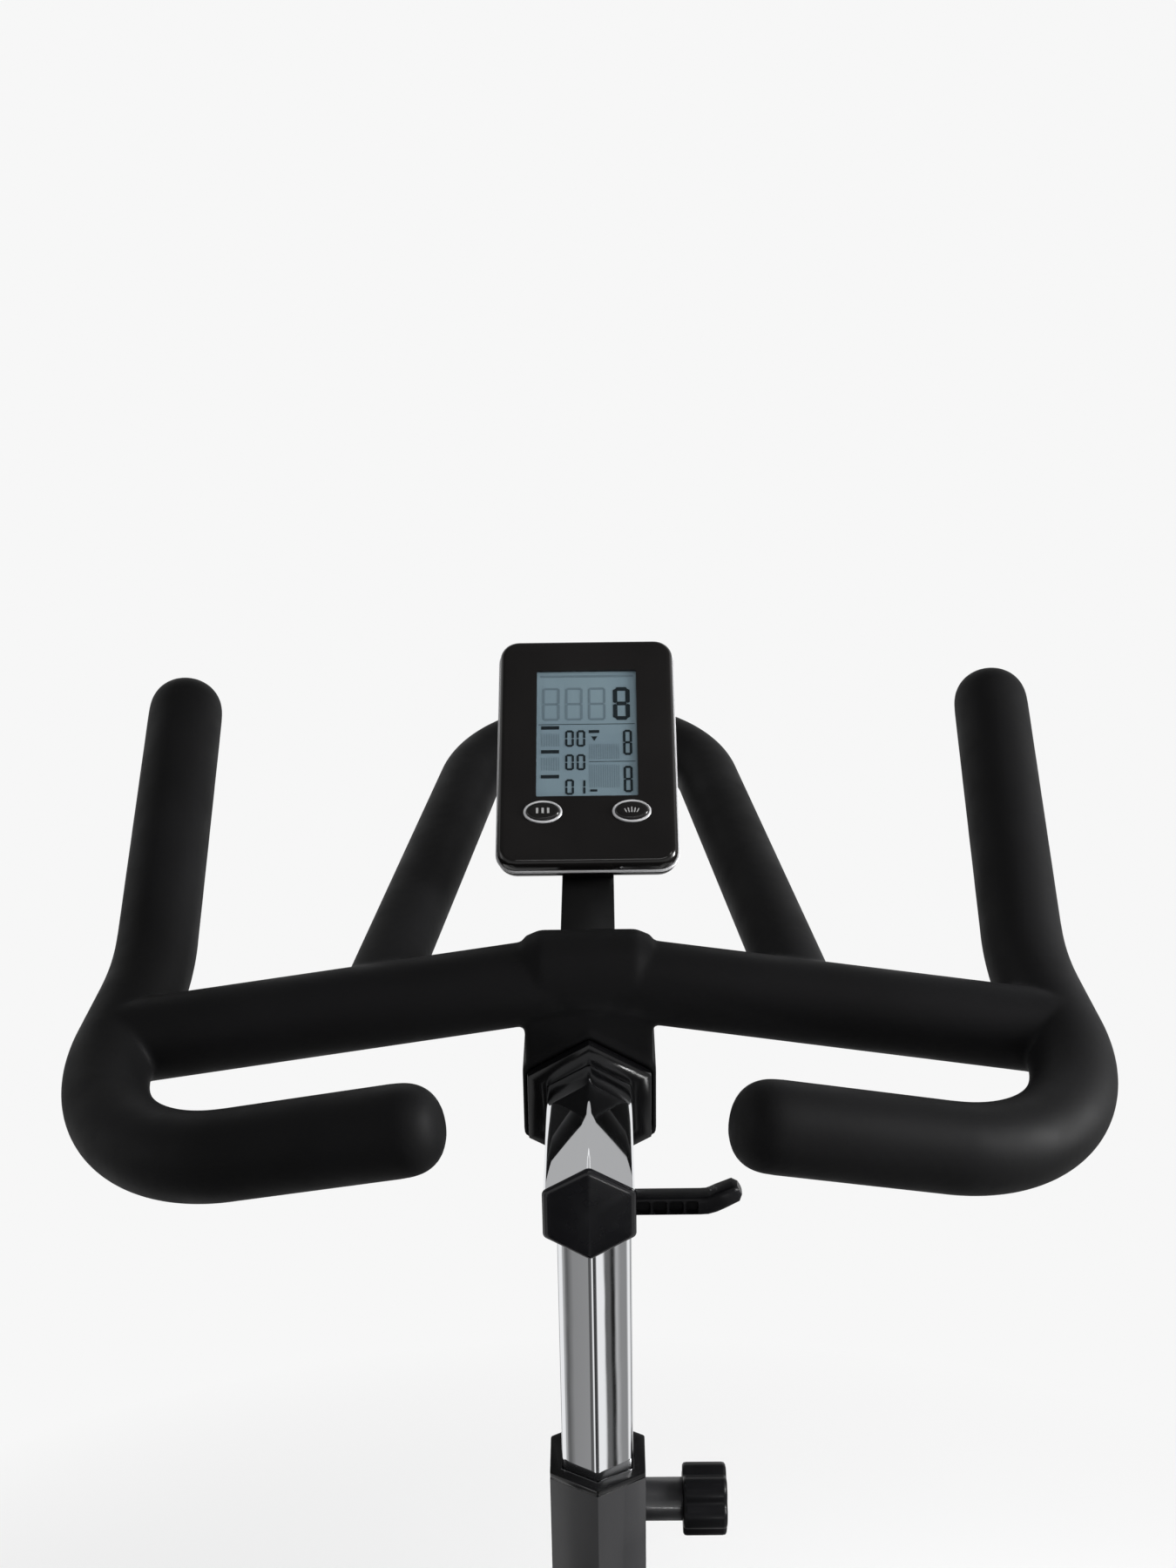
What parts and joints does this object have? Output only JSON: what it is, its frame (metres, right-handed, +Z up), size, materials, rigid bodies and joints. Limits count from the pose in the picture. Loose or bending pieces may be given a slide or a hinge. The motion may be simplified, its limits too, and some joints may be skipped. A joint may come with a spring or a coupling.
{
  "type": "exercise bike",
  "caption": "Spin-style exercise bike with a coated multi-grip handlebar, tilted console, sliding chrome hexagonal posts, belt-driven flywheel and screw-down brake.",
  "frame": {"origin": "on the floor, below the middle of the overall length and width", "axes": "+X to the rider's right, +Y forwards, +Z up"},
  "size_m": [0.52, 1.0756, 1.2292],
  "materials": {
    "frame_paint": "satin powder coat",
    "cap_rubber": "matte",
    "caster_tyre": "matte",
    "bushing_plastic": "glossy",
    "plain_steel": "brushed",
    "guard_plastic": "fine texture",
    "belt_rubber": "matte",
    "flywheel_iron": "painted web, bare rim",
    "crank_steel": "satin",
    "pulley_alloy": "cast",
    "pedal_plastic": "moulded",
    "knob_plastic": "moulded, ribbed",
    "brake_felt": "felt",
    "chrome": "mirror",
    "cap_plastic": "semi-gloss",
    "bar_coating": "soft-touch matte",
    "neck_metal": "semi-gloss",
    "console_gloss": "piano gloss",
    "display_lcd": "grey LCD",
    "display_glass": "clear",
    "button_gloss": "gloss",
    "carrier_paint": "satin",
    "shell_plastic": "textured",
    "saddle_cover": "matte vinyl"
  },
  "bodies": {
    "frame": {"main_beam": "frame_paint", "head_tube": "frame_paint", "fork_left": "frame_paint", "fork_right": "frame_paint", "seat_tube": "frame_paint", "bb_shell": "frame_paint", "front_stabiliser": "frame_paint", "rear_stabiliser": "frame_paint", "stabiliser_caps": "cap_rubber", "post_bushings": "bushing_plastic", "caster_axles": "plain_steel", "flywheel_bearings": "plain_steel", "belt_guard_inner": "guard_plastic", "belt_guard_outer": "guard_plastic", "drive_belt": "belt_rubber", "brake_guide": "plain_steel"},
    "foot_front_left": {"foot_front_left": "cap_rubber"},
    "foot_front_right": {"foot_front_right": "cap_rubber"},
    "foot_rear_left": {"foot_rear_left": "cap_rubber"},
    "foot_rear_right": {"foot_rear_right": "cap_rubber"},
    "caster_left": {"caster_left": "caster_tyre"},
    "caster_right": {"caster_right": "caster_tyre"},
    "flywheel": {"flywheel": "flywheel_iron", "flywheel_axle": "plain_steel", "flywheel_pulley": "plain_steel"},
    "crank": {"crank_axle": "plain_steel", "crank_pulley": "pulley_alloy", "crank_arm_left": "crank_steel", "crank_arm_right": "crank_steel", "pedal_spindles": "plain_steel"},
    "pedal_left": {"pedal_left": "pedal_plastic"},
    "pedal_right": {"pedal_right": "pedal_plastic"},
    "brake_shoe": {"brake_shoe": "plain_steel", "brake_pad": "brake_felt"},
    "brake_screw": {"brake_screw": "knob_plastic"},
    "handlebar_post": {"handlebar_post": "chrome", "slider_end_cap": "cap_plastic"},
    "handlebar_pin": {"handlebar_pin": "knob_plastic"},
    "handlebar": {"crossbar": "bar_coating", "grip_left": "bar_coating", "grip_right": "bar_coating", "aero_loop": "bar_coating", "clamp_sleeve": "bar_coating", "sleeve_bushing": "bushing_plastic", "console_neck": "neck_metal", "console_back": "console_gloss", "console_front": "console_gloss", "display_panel": "display_lcd", "display_window": "display_glass"},
    "button_left": {"button_left": "button_gloss"},
    "button_right": {"button_right": "button_gloss"},
    "clamp_lever": {"clamp_lever": "knob_plastic"},
    "saddle_post": {"saddle_post": "chrome", "saddle_end_cap": "cap_plastic"},
    "saddle": {"saddle_carrier": "carrier_paint", "saddle_rails": "plain_steel", "saddle_shell": "shell_plastic", "saddle_pad": "saddle_cover"},
    "saddle_lever": {"saddle_lever": "knob_plastic"},
    "saddle_pin": {"saddle_pin": "knob_plastic"}
  },
  "joints": [
    {"name": "foot_front_left_turn", "type": "hinge", "parent": "frame", "child": "foot_front_left", "pos_m": [-0.205, 0.4, 0], "axis": [0, 0, 1], "continuous": true},
    {"name": "foot_front_right_turn", "type": "hinge", "parent": "frame", "child": "foot_front_right", "pos_m": [0.205, 0.4, 0], "axis": [0, 0, 1], "continuous": true},
    {"name": "foot_rear_left_turn", "type": "hinge", "parent": "frame", "child": "foot_rear_left", "pos_m": [-0.205, -0.50025, 0], "axis": [0, 0, 1], "continuous": true},
    {"name": "foot_rear_right_turn", "type": "hinge", "parent": "frame", "child": "foot_rear_right", "pos_m": [0.205, -0.50025, 0], "axis": [0, 0, 1], "continuous": true},
    {"name": "caster_left_spin", "type": "hinge", "parent": "frame", "child": "caster_left", "pos_m": [-0.15, 0.469, 0.045], "axis": [1, 0, 0], "continuous": true},
    {"name": "caster_right_spin", "type": "hinge", "parent": "frame", "child": "caster_right", "pos_m": [0.15, 0.469, 0.045], "axis": [1, 0, 0], "continuous": true},
    {"name": "flywheel_spin", "type": "hinge", "parent": "frame", "child": "flywheel", "pos_m": [0, 0.33775, 0.3], "axis": [1, 0, 0], "continuous": true},
    {"name": "crank_spin", "type": "hinge", "parent": "frame", "child": "crank", "pos_m": [0, -0.08, 0.315], "axis": [1, 0, 0], "continuous": true},
    {"name": "pedal_left_spin", "type": "hinge", "parent": "crank", "child": "pedal_left", "pos_m": [-0.158, -0.25, 0.315], "axis": [1, 0, 0], "continuous": true},
    {"name": "pedal_right_spin", "type": "hinge", "parent": "crank", "child": "pedal_right", "pos_m": [0.158, 0.09, 0.315], "axis": [1, 0, 0], "continuous": true},
    {"name": "brake_press", "type": "slide", "parent": "frame", "child": "brake_shoe", "axis": [0, 0.5726, -0.8199], "range_m": [0, 0.0025]},
    {"name": "brake_turn", "type": "hinge", "parent": "brake_shoe", "child": "brake_screw", "pos_m": [0, 0.18889, 0.51317], "axis": [0, 0.5726, -0.8199], "range_deg": [0, 605]},
    {"name": "handlebar_height", "type": "slide", "parent": "frame", "child": "handlebar_post", "axis": [0, 0, 1], "range_m": [-0.12, 0.03]},
    {"name": "handlebar_pin_pull", "type": "slide", "parent": "frame", "child": "handlebar_pin", "axis": [1, 0, 0], "range_m": [0, 0.012], "stiffness_N_per_m": 250},
    {"name": "handlebar_reach", "type": "slide", "parent": "handlebar_post", "child": "handlebar", "axis": [0, 1, 0], "range_m": [-0.075, 0.032]},
    {"name": "button_left_press", "type": "slide", "parent": "handlebar", "child": "button_left", "axis": [0, 0.5664, -0.8241], "range_m": [0, 0.001], "stiffness_N_per_m": 600},
    {"name": "button_right_press", "type": "slide", "parent": "handlebar", "child": "button_right", "axis": [0, 0.5664, -0.8241], "range_m": [0, 0.001], "stiffness_N_per_m": 600},
    {"name": "clamp_lever_turn", "type": "hinge", "parent": "handlebar", "child": "clamp_lever", "pos_m": [0, 0.164, 1.02405], "axis": [0, 0, 1], "range_deg": [-150, 30]},
    {"name": "saddle_height", "type": "slide", "parent": "frame", "child": "saddle_post", "axis": [0, -0.309, 0.9511], "range_m": [-0.15, 0.07]},
    {"name": "saddle_pin_pull", "type": "slide", "parent": "frame", "child": "saddle_pin", "axis": [1, 0, 0], "range_m": [0, 0.012], "stiffness_N_per_m": 250},
    {"name": "saddle_reach", "type": "slide", "parent": "saddle_post", "child": "saddle", "axis": [0, 1, 0], "range_m": [-0.045, 0.02]},
    {"name": "saddle_lever_turn", "type": "hinge", "parent": "saddle", "child": "saddle_lever", "pos_m": [0.032, -0.35875, 0.91131], "axis": [1, 0, 0], "range_deg": [-60, 120]}
  ],
  "couplings": [
    {"joint": "crank_spin", "follows": "flywheel_spin", "ratio": 0.4},
    {"joint": "brake_turn", "follows": "brake_press", "rad_per_m": 4188.8}
  ]
}
